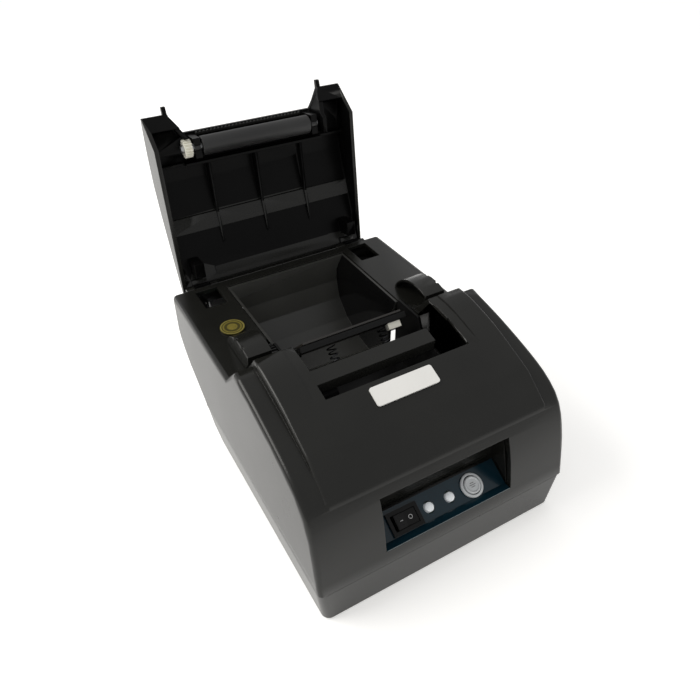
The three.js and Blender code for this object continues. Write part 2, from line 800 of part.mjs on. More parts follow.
function lidShell() {
  const rim = [[75.2, 85.6], [88.8, LID_RIM_Z], [167, LID_RIM_Z]];
  const outside = across([...rim, ...lidTop], [-LID_HALF, LID_HALF], 0.3);
  const inside = across(
    [
      [80, 83.6],
      [88, 60],
      [165, 60],
      [165, 72],
      [151, 76.5],
      [125, 83.8],
      [110, 86.6],
      [95, 86.8],
      [82, 85.7],
      [77.6, 84.9],
    ],
    [-LID_HALF + WALL, LID_HALF - WALL]
  );
  const notch = upright(
    [
      [-NOTCH_HALF, 60],
      [NOTCH_HALF, 60],
      [NOTCH_HALF, 76],
      [LIP_HALF + 1, LIP_Y],
      [-LIP_HALF - 1, LIP_Y],
      [-NOTCH_HALF, 76],
    ],
    [50, 100]
  );
  const shell = joined(cut(outside, inside), lidRibs());
  const noses = joined(noseWall(1), noseWall(-1));
  return cut(
    joined(cut(shell, notch), noses),
    rod(3.6, [-36, 36], PLATEN.y, PLATEN.z),
    rod(PLATEN.radius + 1, [-31.9, 31.9], PLATEN.y, PLATEN.z),
    bothSides((x) => rod(PIN_HOLE_RADIUS, x, HINGE.y, HINGE.z), [42, 52])
  );
}

// A saw-toothed strip under the lid's front lip, where the paper is torn off.
function tearBar() {
  const half = 31;
  const teeth = 30;
  const edge = [];
  for (let i = 0; i < teeth; i += 1) {
    const x = -half + (2 * half * i) / teeth;
    edge.push([x, LIP_Y + 0.9], [x + half / teeth, LIP_Y + 0.2]);
  }
  return upright([...edge, [half, LIP_Y + 0.9], [half, LIP_Y + 2], [-half, LIP_Y + 2]], [84, 85.6]);
}

function bushing() {
  return turned([[2.15, -1.6], [3.3, -1.6], [3.3, 1.6], [2.15, 1.6], [2.15, -1.6]]).rotateY(Math.PI / 2);
}

// Feet, screws, pins, label and sticker.
function caseScrew() {
  return joined(peg(2.8, 0, 0, [1.6, 3.3]), peg(1.3, 0, 0, [3, 34]));
}

function frontLabel() {
  const geometry = extrusion(roundedSquare(31.5, 9, 1.2), 0.8, 0);
  const slope = Math.atan2(80.4 - 71.5, 45 - 23);
  return solid(geometry.rotateX(slope).translate(-2.6, 36.7, 77.05 + GAP));
}

// Assembly.
place('base_tray', baseTray(), SHELL());
place('top_case', topCase(), SHELL());
place('tail_cover', tailCover(), SHELL());
place('bearing_hood_left', bearingHood(-1), SHELL());
place('bearing_hood_right', bearingHood(1), SHELL());
place('paper_bucket', paperBucket(), SHELL());
place('paper_guide', paperGuide(), GLOSSY());
place('mechanism_frame', mechanismFrame(), STEEL());
place('stepper_motor', stepperMotor(), STEEL());
place('head_shaft', rod(1.2, [-34.6, 34.6], headPivot.y, headPivot.z), STEEL());
place('thermal_head', thermalHead(), GLOSSY());
place('heat_sink', heatSink(), STEEL());
place('head_connector', headConnector(), IVORY());
place('paper_sensor', paperSensor(), GLOSSY());

for (const [side, x] of [['left', -14], ['right', 14]]) {
  const spring = place(`head_spring_${side}`, headSpring(), STEEL());
  spring.position.set(x, 72, 63.4);
  spring.rotation.x = -Math.PI / 4;
}

place('main_board', mainBoard(), BOARD());
place('io_board_left', ioBoard([-61.5, -34]), BOARD());
place('io_board_right', ioBoard([36.5, 57]), BOARD());
place('power_inlet', powerInlet(), GLOSSY());
place('data_socket', dataSocket(), STEEL());
place('drawer_socket', drawerSocket(), GLOSSY());

const platenClosed = { y: PLATEN.y, z: PLATEN.z };
// With the lid shut the drive gear's teeth stop 0.2 mm short of the platen gear's.
const driveToPlaten = bearing(DRIVE, platenClosed);
const driveToIdler = bearing(DRIVE, idlerCentre);
const idlerToPinion = bearing(idlerCentre, pinionCentre);
// A gap of the follower faces a tooth of the leader across each mesh.
const gapPhase = (teeth, towards) => towards + Math.PI + Math.PI / teeth;
const drivePhase = driveToPlaten;
const driveStep = (2 * Math.PI) / DRIVE.teeth;
const driveLag = (driveToIdler - drivePhase) / driveStep;
const offTooth = (driveLag - Math.round(driveLag)) * driveStep;
const idlerPhase = gapPhase(IDLER_TEETH, driveToIdler) + (offTooth * DRIVE.teeth) / IDLER_TEETH;
const idlerStep = (2 * Math.PI) / IDLER_TEETH;
const idlerLag = (idlerToPinion - idlerPhase) / idlerStep;
const offIdler = (idlerLag - Math.round(idlerLag)) * idlerStep;
const pinionPhase = gapPhase(PINION_TEETH, idlerToPinion) + (offIdler * IDLER_TEETH) / PINION_TEETH;
placeGear('drive_gear', DRIVE.teeth, DRIVE, drivePhase, 1.7, IVORY());
placeGear('idler_gear', IDLER_TEETH, idlerCentre, idlerPhase, 1.7, IVORY());
placeGear('motor_pinion', PINION_TEETH, pinionCentre, pinionPhase, 1.3, STEEL());

place('panel_tub', panelTub(), SHELL());
place('control_plate', controlPlate(), paint(0x16344f, 0.25), panel);
place('rocker_housing', rockerHousing(), GLOSSY(), panel);
const rocker = place('power_rocker', rockerKey(), GLOSSY(), panel);
rocker.position.set(ROCKER.x, ROCKER.u, 0.6);
rocker.rotation.y = THREE.MathUtils.degToRad(8);
for (const [name, x] of [['power_lamp', LED_X[0]], ['paper_lamp', LED_X[1]]]) {
  place(name, ledLens(), paint(0xf2f5f4, 0.3), panel).position.set(x, LED_U, 0);
}
place('key_ring', keyRing(), paint(0xc9cccd, 0.3, 0.6), panel).position.set(FEED_KEY.x, FEED_KEY.u, 0);
place('feed_key', feedKey(), paint(0xdfe2e3, 0.3, 0.3), panel).position.set(FEED_KEY.x, FEED_KEY.u, 0);
place('panel_board', panelBoard(), BOARD(), panel);
place('feed_switch', block([14, 20], [4, 9.6], [-4.7, -2.6]), GLOSSY(), panel);

place('lid_shell', lidShell(), SHELL(), lidParts);
place('tear_bar', tearBar(), STEEL(), lidParts);
place('platen_shaft', rod(SHAFT_RADIUS, [-42, 36.6], PLATEN.y, PLATEN.z), STEEL(), lidParts);
place('platen_roller', cut(rod(PLATEN.radius, [-PLATEN.half, PLATEN.half], PLATEN.y, PLATEN.z, 28),
  rod(SHAFT_RADIUS + GAP, [-40, 40], PLATEN.y, PLATEN.z)), RUBBER(), lidParts);
placeGear('platen_gear', PLATEN_GEAR_TEETH, platenClosed, gapPhase(PLATEN_GEAR_TEETH, driveToPlaten),
  SHAFT_RADIUS + GAP, IVORY(), lidParts);
for (const [side, x] of [['left', -33.7], ['right', 33.7]]) {
  place(`platen_bushing_${side}`, bushing(), IVORY(), lidParts).position.set(x, PLATEN.y, PLATEN.z);
}

for (const [side, s] of [['left', -1], ['right', 1]]) {
  const x = s < 0 ? [-55.6, -38.4] : [38.4, 55.6];
  place(`hinge_pin_${side}`, rod(1.2, x, HINGE.y, HINGE.z), STEEL());
}
let count = 0;
for (const y of FEET.y) {
  for (const s of [-1, 1]) {
    count += 1;
    place(`foot_${count}`, peg(FEET.radius, s * FEET.x, y, [0, 1.9]), RUBBER());
  }
}
count = 0;
for (const y of SCREWS.y) {
  for (const s of [-1, 1]) {
    count += 1;
    place(`case_screw_${count}`, caseScrew(), STEEL()).position.set(s * SCREWS.x, y, 0);
  }
}
place('front_label', frontLabel(), paint(0xf4f3ee, 0.5));
place('deck_sticker', peg(6.3, -47.6, 121, [DECK_Z + GAP, DECK_Z + 0.7], 28), paint(0x8a7a2e, 0.4, 0.4));

// The origin is on the table, under the middle of the whole object with its lid open.
const assembly = new THREE.Group();
assembly.add(printer);
const extent = new THREE.Box3().setFromObject(assembly, true);
const middle = extent.getCenter(new THREE.Vector3());
printer.position.set(0, -middle.y, 0);

export default assembly;
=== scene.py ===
"""A desktop receipt printer for narrow paper rolls, standing with its paper lid wide open."""

import json
import math

import bmesh
import bpy
from mathutils import Matrix, Vector


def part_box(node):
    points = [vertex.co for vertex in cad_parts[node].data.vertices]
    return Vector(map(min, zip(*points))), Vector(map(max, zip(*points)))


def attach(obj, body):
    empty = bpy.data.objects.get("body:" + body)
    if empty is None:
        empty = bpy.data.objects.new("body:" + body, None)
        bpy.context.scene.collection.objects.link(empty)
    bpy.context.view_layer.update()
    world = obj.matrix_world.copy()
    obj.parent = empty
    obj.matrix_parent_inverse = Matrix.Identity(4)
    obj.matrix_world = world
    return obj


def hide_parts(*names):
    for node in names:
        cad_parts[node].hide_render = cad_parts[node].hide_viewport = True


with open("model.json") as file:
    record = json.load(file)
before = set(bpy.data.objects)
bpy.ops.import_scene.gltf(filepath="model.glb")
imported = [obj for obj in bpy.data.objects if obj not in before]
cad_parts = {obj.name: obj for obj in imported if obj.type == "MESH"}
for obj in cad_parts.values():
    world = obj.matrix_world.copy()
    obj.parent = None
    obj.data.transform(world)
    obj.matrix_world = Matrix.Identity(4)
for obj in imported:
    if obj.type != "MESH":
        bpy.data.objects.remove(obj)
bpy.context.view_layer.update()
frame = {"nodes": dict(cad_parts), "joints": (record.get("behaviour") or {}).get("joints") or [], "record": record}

MM = 0.001
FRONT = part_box("top_case")[0].y
JOINTS = {j["name"]: j for j in frame["joints"]}
X, Y, Z = Vector((1, 0, 0)), Vector((0, 1, 0)), Vector((0, 0, 1))


def at(x, y, z):
    """A point in millimetres, y measured from the front face, as a place in the frame."""
    return Vector((x * MM, FRONT + y * MM, z * MM))


# ---------------------------------------------------------------- materials


def material(name):
    made = bpy.data.materials.new(name)
    made.use_nodes = True
    nodes, links = made.node_tree.nodes, made.node_tree.links
    return made, nodes, links, nodes["Principled BSDF"]


def place_on(nodes, links, scale=(1, 1, 1)):
    coords = nodes.new("ShaderNodeTexCoord")
    mapping = nodes.new("ShaderNodeMapping")
    mapping.inputs["Scale"].default_value = scale
    links.new(coords.outputs["Object"], mapping.inputs["Vector"])
    return mapping.outputs["Vector"]


def noise(nodes, links, vector, scale, detail=3.0, roughness=0.55):
    made = nodes.new("ShaderNodeTexNoise")
    made.inputs["Scale"].default_value = scale
    made.inputs["Detail"].default_value = detail
    made.inputs["Roughness"].default_value = roughness
    links.new(vector, made.inputs["Vector"])
    return made.outputs["Fac"]


def ramp(nodes, links, value, stops):
    made = nodes.new("ShaderNodeValToRGB")
    ends = made.color_ramp.elements
    for end, (place, colour) in zip(ends, (stops[0], stops[-1])):
        end.position, end.color = place, colour
    for place, colour in stops[1:-1]:
        ends.new(place).color = colour
    links.new(value, made.inputs["Fac"])
    return made.outputs["Color"]


def spread(nodes, links, value, low, high):
    made = nodes.new("ShaderNodeMapRange")
    made.inputs["To Min"].default_value = low
    made.inputs["To Max"].default_value = high
    links.new(value, made.inputs["Value"])
    return made.outputs["Result"]


def grey(v, tint=(1, 1, 1)):
    return (v * tint[0], v * tint[1], v * tint[2], 1.0)


def moulded(name, dark, light, rough, grain=900.0, bump=0.12, shine=0.5, edge=0.4):
    """Moulded plastic: a fine grain, faint flow marks, and softened corners."""
    made, nodes, links, shader = material(name)
    where = place_on(nodes, links)
    broad = noise(nodes, links, where, 26.0, 4.0)
    fine = noise(nodes, links, where, grain, 2.0)
    links.new(ramp(nodes, links, broad, [(0.3, dark), (0.75, light)]), shader.inputs["Base Color"])
    links.new(spread(nodes, links, broad, rough[0], rough[1]), shader.inputs["Roughness"])
    made_bump = nodes.new("ShaderNodeBump")
    made_bump.inputs["Strength"].default_value = bump
    made_bump.inputs["Distance"].default_value = 0.0002
    links.new(fine, made_bump.inputs["Height"])
    if edge:
        soften = nodes.new("ShaderNodeBevel")
        soften.samples = 4
        soften.inputs["Radius"].default_value = edge * MM
        links.new(soften.outputs["Normal"], made_bump.inputs["Normal"])
    links.new(made_bump.outputs["Normal"], shader.inputs["Normal"])
    shader.inputs["Specular IOR Level"].default_value = shine
    return made


def metal(name, colour, rough=(0.25, 0.4), streak=(4, 240, 240), bump=0.05):
    """Drawn or brushed metal, with its streaks along X."""
    made, nodes, links, shader = material(name)
    where = place_on(nodes, links, streak)
    lines = noise(nodes, links, where, 12.0, 4.0)
    low = tuple(c * 0.8 for c in colour[:3]) + (1.0,)
    links.new(ramp(nodes, links, lines, [(0.3, low), (0.7, colour)]), shader.inputs["Base Color"])
    links.new(spread(nodes, links, lines, *rough), shader.inputs["Roughness"])
    shader.inputs["Metallic"].default_value = 1.0
    made_bump = nodes.new("ShaderNodeBump")
    made_bump.inputs["Strength"].default_value = bump
    made_bump.inputs["Distance"].default_value = 0.0001
    links.new(lines, made_bump.inputs["Height"])
    links.new(made_bump.outputs["Normal"], shader.inputs["Normal"])
    return made


OLIVE = (1, 1, 0.86)
WARM = (1, 1, 0.9)
AMBER = (1, 0.9, 0.8)

CASE = moulded("case_abs", grey(0.0075, OLIVE), grey(0.0110, OLIVE), (0.22, 0.30), bump=0.08, shine=0.33)
# Painted shade: the lid's inner side takes a far darker colour than the case.
LID_PAINTED_SHADE = moulded("lid_inside_painted_shade", grey(0.0012), grey(0.0024), (0.26, 0.36), bump=0.05, shine=0.10)
# Painted reflected light: the paper bucket takes a lighter colour than the black case.
BUCKET_PAINTED_LIGHT = moulded("bucket_abs_painted_light", grey(0.022, WARM), grey(0.030, WARM), (0.34, 0.44), bump=0.03)
ROCKER_ABS = moulded("rocker_abs", grey(0.003), grey(0.005), (0.22, 0.32), bump=0.03, shine=0.2, edge=0.2)
DARK_GEAR = moulded("black_acetal", grey(0.008), grey(0.013), (0.3, 0.4), bump=0.04, edge=0.12)
# Partly painted shade: the black anodised finish is made darker still for the shaded inside of the body.
ANODISED_AND_PAINTED_SHADE = moulded("black_anodised_painted_shade", grey(0.003), grey(0.006), (0.3, 0.42), bump=0.05, shine=0.2, edge=0.2)
# Painted reflected light on the bucket's back wall, and painted shade on its side walls.
BUCKET_BACK_PAINTED_LIGHT = moulded("bucket_back_painted_light", grey(0.045, WARM), grey(0.058, WARM), (0.4, 0.5), bump=0.03)
BUCKET_SIDE_PAINTED_SHADE = moulded("bucket_side_painted_shade", grey(0.002), grey(0.004), (0.10, 0.16), bump=0.02, shine=0.3)
PRINT = moulded("white_print", (0.5, 0.5, 0.5, 1), (0.62, 0.62, 0.62, 1), (0.4, 0.5), bump=0.02, edge=0)
# Painted highlight: a lighter blue-grey for the strip along the panel's front edge.
LIP_PAINTED_HIGHLIGHT = moulded("overlay_lip_painted_highlight", (0.10, 0.13, 0.14, 1), (0.14, 0.17, 0.18, 1), (0.3, 0.4), bump=0.02, edge=0)
GREY_PRINT = moulded("grey_print", grey(0.10), grey(0.15), (0.4, 0.5), bump=0.02, edge=0)
POLISHED = moulded("polished_abs", grey(0.006), grey(0.009), (0.10, 0.16), bump=0.02)
# Partly painted shade: the black coating is made darker still for the shaded mechanism inside the body.
COATED_AND_PAINTED_SHADE = moulded("coated_steel_painted_shade", grey(0.003), grey(0.006), (0.28, 0.4), bump=0.06, shine=0.2, edge=0.2)
CERAMIC = moulded("head_glaze", grey(0.02, AMBER), grey(0.03, AMBER), (0.12, 0.2), bump=0.02)
RUBBER = moulded("platen_rubber", grey(0.011), grey(0.019), (0.42, 0.55), grain=1500, bump=0.2, edge=0.3)
IVORY, PALE_IVORY = (0.80, 0.78, 0.68, 1), (0.90, 0.88, 0.78, 1)
ACETAL = moulded("ivory_acetal", IVORY, PALE_IVORY, (0.35, 0.45), bump=0.05, edge=0.12)
CAP = moulded("button_cap", (0.58, 0.60, 0.61, 1), (0.68, 0.70, 0.71, 1), (0.2, 0.3), bump=0.03, edge=0.15)
FILM = moulded("label_film", (0.80, 0.79, 0.76, 1), (0.88, 0.87, 0.84, 1), (0.3, 0.42), bump=0.04, edge=0.1)
STEEL = metal("plated_steel", (0.55, 0.56, 0.57, 1))
DARK_WIRE = metal("dark_spring_wire", (0.03, 0.03, 0.033, 1), (0.35, 0.5))


def circuit(name):
    """Green board: solder mask with faint copper tracks under it."""
    made, nodes, links, shader = material(name)
    where = place_on(nodes, links)
    cells = nodes.new("ShaderNodeTexBrick")
    cells.inputs["Scale"].default_value = 180.0
    cells.inputs["Color1"].default_value = (0.008, 0.07, 0.03, 1)
    cells.inputs["Color2"].default_value = (0.010, 0.085, 0.04, 1)
    cells.inputs["Mortar"].default_value = (0.02, 0.14, 0.06, 1)
    links.new(where, cells.inputs["Vector"])
    links.new(cells.outputs["Color"], shader.inputs["Base Color"])
    links.new(spread(nodes, links, cells.outputs["Fac"], 0.3, 0.45), shader.inputs["Roughness"])
    return made


def overlay(name):
    """Glossy dark blue film over the panel, with a faint random cloudiness."""
    made, nodes, links, shader = material(name)
    where = place_on(nodes, links)
    broad = noise(nodes, links, where, 40.0, 2.0)
    links.new(
        ramp(nodes, links, broad, [(0.3, (0.003, 0.016, 0.026, 1)), (0.7, (0.005, 0.025, 0.038, 1))]),
        shader.inputs["Base Color"],
    )
    links.new(spread(nodes, links, broad, 0.16, 0.24), shader.inputs["Roughness"])
    shader.inputs["Specular IOR Level"].default_value = 0.3
    shader.inputs["Coat Weight"].default_value = 0.15
    shader.inputs["Coat Roughness"].default_value = 0.1
    return made


def lens(name):
    """Milky lamp lens."""
    made, nodes, links, shader = material(name)
    where = place_on(nodes, links)
    cloud = noise(nodes, links, where, 500.0, 2.0)
    links.new(
        ramp(nodes, links, cloud, [(0.3, (0.80, 0.83, 0.84, 1)), (0.7, (0.93, 0.95, 0.95, 1))]),
        shader.inputs["Base Color"],
    )
    links.new(spread(nodes, links, cloud, 0.12, 0.2), shader.inputs["Roughness"])
    shader.inputs["Subsurface Weight"].default_value = 0.3
    shader.inputs["Subsurface Radius"].default_value = (0.002, 0.002, 0.002)
    shader.inputs["Emission Color"].default_value = (0.9, 0.95, 1.0, 1)
    shader.inputs["Emission Strength"].default_value = 0.15
    return made


STICKER_RADIUS = 0.0063


def foil(name, centre):
    """Dark gold foil with rings and radial flecks, and no writing."""
    made, nodes, links, shader = material(name)
    coords = nodes.new("ShaderNodeTexCoord")
    move = nodes.new("ShaderNodeVectorMath")
    move.operation = "SUBTRACT"
    move.inputs[1].default_value = centre
    links.new(coords.outputs["Object"], move.inputs[0])
    length = nodes.new("ShaderNodeVectorMath")
    length.operation = "LENGTH"
    links.new(move.outputs["Vector"], length.inputs[0])
    flecks = noise(nodes, links, move.outputs["Vector"], 900.0, 2.0)
    radius = nodes.new("ShaderNodeMapRange")
    radius.inputs["From Max"].default_value = STICKER_RADIUS
    links.new(length.outputs["Value"], radius.inputs["Value"])
    gold, dark, bright = (0.36, 0.29, 0.05, 1), (0.035, 0.03, 0.008, 1), (0.5, 0.42, 0.1, 1)
    bands = ramp(
        nodes,
        links,
        radius.outputs["Result"],
        [(0.0, gold), (0.40, gold), (0.43, dark), (0.62, dark), (0.66, gold), (0.74, gold), (0.77, dark),
         (0.84, dark), (0.87, bright), (0.93, bright), (0.96, dark), (1.0, dark)],
    )
    mix = nodes.new("ShaderNodeMix")
    mix.data_type = "RGBA"
    links.new(spread(nodes, links, flecks, 0.0, 0.9), mix.inputs["Factor"])
    links.new(bands, mix.inputs["A"])
    mix.inputs["B"].default_value = (0.10, 0.085, 0.02, 1)
    links.new(mix.outputs["Result"], shader.inputs["Base Color"])
    links.new(spread(nodes, links, flecks, 0.3, 0.5), shader.inputs["Roughness"])
    shader.inputs["Metallic"].default_value = 0.5
    return made


BOARD = circuit("board_mask")
NAVY = overlay("navy_overlay")
LAMP = lens("lamp_lens")
GOLD = foil("gold_foil", sum(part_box("deck_sticker"), Vector()) / 2)

LOOKS = {
    CASE: "base_tray top_case tail_cover bearing_hood_left bearing_hood_right panel_tub lid_shell tear_bar",
    BUCKET_PAINTED_LIGHT: "paper_bucket",
    POLISHED: "paper_guide power_inlet drawer_socket paper_sensor feed_switch",
    ROCKER_ABS: "rocker_housing power_rocker",
    COATED_AND_PAINTED_SHADE: "mechanism_frame stepper_motor",
    CERAMIC: "thermal_head",
    RUBBER: "platen_roller foot_1 foot_2 foot_3 foot_4",
    ACETAL: "platen_gear head_connector",
    DARK_GEAR: "drive_gear idler_gear platen_bushing_left platen_bushing_right",
    ANODISED_AND_PAINTED_SHADE: "heat_sink",
    CAP: "feed_key key_ring",
    FILM: "front_label",
    STEEL: "platen_shaft motor_pinion hinge_pin_left hinge_pin_right data_socket "
    "case_screw_1 case_screw_2 case_screw_3 case_screw_4",
    DARK_WIRE: "head_shaft head_spring_left head_spring_right",
    BOARD: "main_board io_board_left io_board_right panel_board",
    NAVY: "control_plate",
    LAMP: "power_lamp paper_lamp",
    GOLD: "deck_sticker",
}
LOOK_OF = {node: look for look, names in LOOKS.items() for node in names.split()}
BODY_OF = {n: body for body, nodes in frame["record"]["behaviour"]["bodies"].items() for n in nodes}


# ---------------------------------------------------------------- mouldings


def new_mesh(name, points, faces, look=None):
    mesh = bpy.data.meshes.new(name)
    mesh.from_pydata([tuple(p) for p in points], [], faces)
    made = bpy.data.objects.new(name, mesh)
    bpy.context.scene.collection.objects.link(made)
    if look:
        mesh.materials.append(look)
    return made


MERGE = 0.005 * MM
CREASE = math.radians(24)
LID_WALL = 2.2 * MM
STEP_BAND = (93.2 * MM, 102.6 * MM)
HINGE_LEDGE = (66.0 * MM, 75.2 * MM)


def paint_lid_shade_and_highlight(mesh):
    """The lid's hollow side, which faces forward while the lid stands open, is painted darker as painted shade.
    The step across the ribs and the ledge by the hinge keep the outer colour where they face forward, as a painted
    highlight."""
    half = max(v.co.x for v in mesh.vertices)
    for face in mesh.polygons:
        raised = any(low < face.center.z < high for low, high in (STEP_BAND, HINGE_LEDGE))
        # Painted highlight: the forward-facing faces of the step and the ledge keep the lighter outer colour.
        lit_band = raised and face.normal.y < -0.5
        between_walls = abs(face.center.x) < half - LID_WALL + MERGE
        # Painted shade: the rest of the hollow side that faces forward is darkened.
        if between_walls and face.normal.y < 0.3 and not lit_band:
            face.material_index = 1


def paint_bucket_light_and_shade(mesh):
    """The bucket's back wall is painted lighter and has a dull texture, as painted reflected light, and its side
    walls are painted near black and glossy, as painted shade.
    """
    for face in mesh.polygons:
        if abs(face.normal.x) > 0.6:
            face.material_index = 2
        elif face.normal.y < -0.8:
            face.material_index = 1


def refined(node, thing):
    """The CAD shape with its curves shaded as curves and its corners kept crisp."""
    mesh = thing.data.copy()
    mesh.name = node + "_fine"
    shape = bmesh.new()
    shape.from_mesh(mesh)
    bmesh.ops.remove_doubles(shape, verts=shape.verts, dist=MERGE)
    shape.to_mesh(mesh)
    shape.free()
    mesh.shade_smooth()
    mesh.set_sharp_from_angle(angle=CREASE)
    mesh.materials.clear()
    mesh.materials.append(LOOK_OF[node])
    if node == "lid_shell":
        mesh.materials.append(LID_PAINTED_SHADE)
        paint_lid_shade_and_highlight(mesh)
    # Painted light and shade on the paper bucket's walls.
    if node == "paper_bucket":
        mesh.materials.append(BUCKET_BACK_PAINTED_LIGHT)
        mesh.materials.append(BUCKET_SIDE_PAINTED_SHADE)
        paint_bucket_light_and_shade(mesh)
    made = bpy.data.objects.new(node + "_fine", mesh)
    bpy.context.scene.collection.objects.link(made)
    flatten = made.modifiers.new("even_normals", "WEIGHTED_NORMAL")
    flatten.keep_sharp = True
    flatten.weight = 100
    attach(made, BODY_OF[node])
    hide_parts(node)


# ---------------------------------------------------------------- turned parts and printed marks


PANEL_UP = Vector(JOINTS["rocker_tilt"]["axis"]).normalized()
PANEL_OUT = -Vector(JOINTS["feed_press"]["axis"]).normalized()
ROUND = 72


def reach(node, axis):
    """How far a node goes along an axis, as its lowest and highest value."""
    spans = [v.co.dot(axis) for v in frame["nodes"][node].data.vertices]
    return min(spans), max(spans)


def centre_line(node, sideways, upward):
    """The middle of a turned node, measured across its own axis."""
    a, b = (sum(reach(node, axis)) / 2 for axis in (sideways, upward))
    return a * sideways + b * upward


def finish_piece(made, node):
    """Faces turned outwards, crisp corners, and a place on the node's body."""
    shape = bmesh.new()
    shape.from_mesh(made.data)
    bmesh.ops.recalc_face_normals(shape, faces=shape.faces)
    shape.to_mesh(made.data)
    shape.free()
    made.data.shade_smooth()
    made.data.set_sharp_from_angle(angle=CREASE)
    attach(made, BODY_OF[node])


def turned(node, axis, sideways, upward, profile):
    """A node made afresh as a fine lathe shape: profile is (radius, place along the axis) in mm."""
    start = reach(node, axis)[0]
    middle = centre_line(node, sideways, upward)
    points, faces = [], []
    for radius, place in profile:
        for k in range(ROUND):
            turn = 2 * math.pi * k / ROUND
            rim = math.cos(turn) * sideways + math.sin(turn) * upward
            points.append(middle + (start + place * MM) * axis + radius * MM * rim)
    rows = len(profile)
    for row in range(rows - 1):
        for k in range(ROUND):
            a, b = row * ROUND + k, row * ROUND + (k + 1) % ROUND
            faces.append((a, b, b + ROUND, a + ROUND))
    if profile[0] == profile[-1]:
        faces = [tuple(i % ((rows - 1) * ROUND) for i in face) for face in faces]
        points = points[: (rows - 1) * ROUND]
    else:
        faces.append(tuple(reversed(range(ROUND))))
        faces.append(tuple(range((rows - 1) * ROUND, rows * ROUND)))
    made = new_mesh(node + "_fine", points, faces, LOOK_OF[node])
    finish_piece(made, node)
    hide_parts(node)


def fillet(radius, place, r, steps=5):
    """Points of a rounded rim that starts on the side wall and ends on the end face."""
    turns = [math.pi / 2 * k / steps for k in range(steps + 1)]
    return [(radius - r + r * math.cos(t), place + (r * math.sin(t) - r)) for t in turns]


ROLLER_BORE = 2.3
ROLLER_RIM = 0.45


def make_platen():
    """The rubber roller, a tube with rounded ends."""
    low, high = reach("platen_roller", X)
    length = (high - low) / MM
    side = reach("platen_roller", Y)
    radius = (side[1] - side[0]) / 2 / MM
    far = fillet(radius, length, ROLLER_RIM)
    near = [(r, length - p) for r, p in far]
    bore_near, bore_far = (ROLLER_BORE, 0), (ROLLER_BORE, length)
    turned("platen_roller", X, Y, Z, [bore_near, *reversed(near), *far, bore_far, bore_near])


LENS_RADIUS = 2.1
KEY_RADIUS = 3.9
KEY_DISH = 4.22
RING_INNER, RING_OUTER, RING_HEIGHT = 4.3, 5.5, 1.1


def make_panel_parts():
    """Everything turned on the tilted panel: two lamp lenses, the button and its ring."""
    turns = [math.pi / 2 * k / 7 for k in range(7)]
    dome = [(LENS_RADIUS * math.cos(t), 6.0 + 0.9 * math.sin(t)) for t in turns]
    lens_shape = [(LENS_RADIUS, 0), (LENS_RADIUS, 5.7), *dome]
    for lamp in ("power_lamp", "paper_lamp"):
        turned(lamp, PANEL_OUT, X, PANEL_UP, lens_shape)
    stem = [(2.0, 0), (2.0, 1.4), (KEY_RADIUS, 1.4)]
    bead = [*fillet(KEY_RADIUS, 4.6, 0.5), (3.1, 4.55), (2.95, 4.35), (2.7, KEY_DISH)]
    turned("feed_key", PANEL_OUT, X, PANEL_UP, [*stem, *bead])
    crown = fillet(RING_OUTER, RING_HEIGHT, 0.55)
    chamfer = [(RING_INNER + 0.15, RING_HEIGHT), (RING_INNER, 0.95)]
    foot = (RING_INNER, 0)
    turned("key_ring", PANEL_OUT, X, PANEL_UP, [foot, (RING_OUTER, 0), *crown, *chamfer, foot])


def stadium(half, radius, steps=8):
    """A bar with round ends, as an outline about its middle."""
    right = [(-math.pi / 2 + math.pi * k / steps) for k in range(steps + 1)]
    ends = [(half + radius * math.cos(t), radius * math.sin(t)) for t in right]
    return ends + [(-x, -y) for x, y in ends]


INK = 0.05


def inked(outline_points, base, hole=None):
    """A thin raised mark on a surface, given its outline, and a hole's outline if it has one."""
    place, across, up, out = base
    count = len(outline_points)
    rings = [outline_points, outline_points]
    if hole:
        rings = [outline_points, outline_points, hole, hole]
    lifts = [0, INK, INK, 0]
    points = [
        place + (a * across + b * up + lift * out) * MM
        for ring, lift in zip(rings, lifts)
        for a, b in ring
    ]
    total = len(rings)
    bands = total if hole else 1
    faces = []
    for row in range(bands):
        for k in range(count):
            a, b = k, (k + 1) % count
            after = (row + 1) % total
            faces.append((row * count + a, row * count + b, after * count + b, after * count + a))
    if not hole:
        faces += [tuple(reversed(range(count))), tuple(range(count, 2 * count))]
    return points, faces


def marks(name, parts, node, look):
    """Several printed marks joined into one piece that rides with a node."""
    points, faces = [], []
    for some_points, some_faces in parts:
        shift = len(points)
        points += some_points
        faces += [tuple(i + shift for i in face) for face in some_faces]
    finish_piece(new_mesh(name, points, faces, look), node)


def circle(radius, steps=24):
    return [
        (radius * math.cos(2 * math.pi * k / steps), radius * math.sin(2 * math.pi * k / steps))
        for k in range(steps)
    ]


ROCKER_SLOPE = math.atan2(1.2, 5.1)
ROCKER_DIP = 1.7


def rocker_face(x):
    """A place on the rocker's dished top, x mm from its pivot, with its own three directions."""
    rest = -math.radians(JOINTS["rocker_tilt"]["range_deg"][0]) / 2
    side = 1 if x > 0 else -1
    slope = side * ROCKER_SLOPE - rest
    along = math.cos(slope) * X + math.sin(slope) * PANEL_OUT
    out = math.cos(slope) * PANEL_OUT - math.sin(slope) * X
    flat_x, flat_z = x, ROCKER_DIP + abs(x) * math.tan(ROCKER_SLOPE)
    moved_x = flat_x * math.cos(rest) + flat_z * math.sin(rest)
    moved_z = flat_z * math.cos(rest) - flat_x * math.sin(rest)
    pivot = Vector(JOINTS["rocker_tilt"]["pos_m"])
    return pivot + (moved_x * X + moved_z * PANEL_OUT) * MM, along, PANEL_UP, out


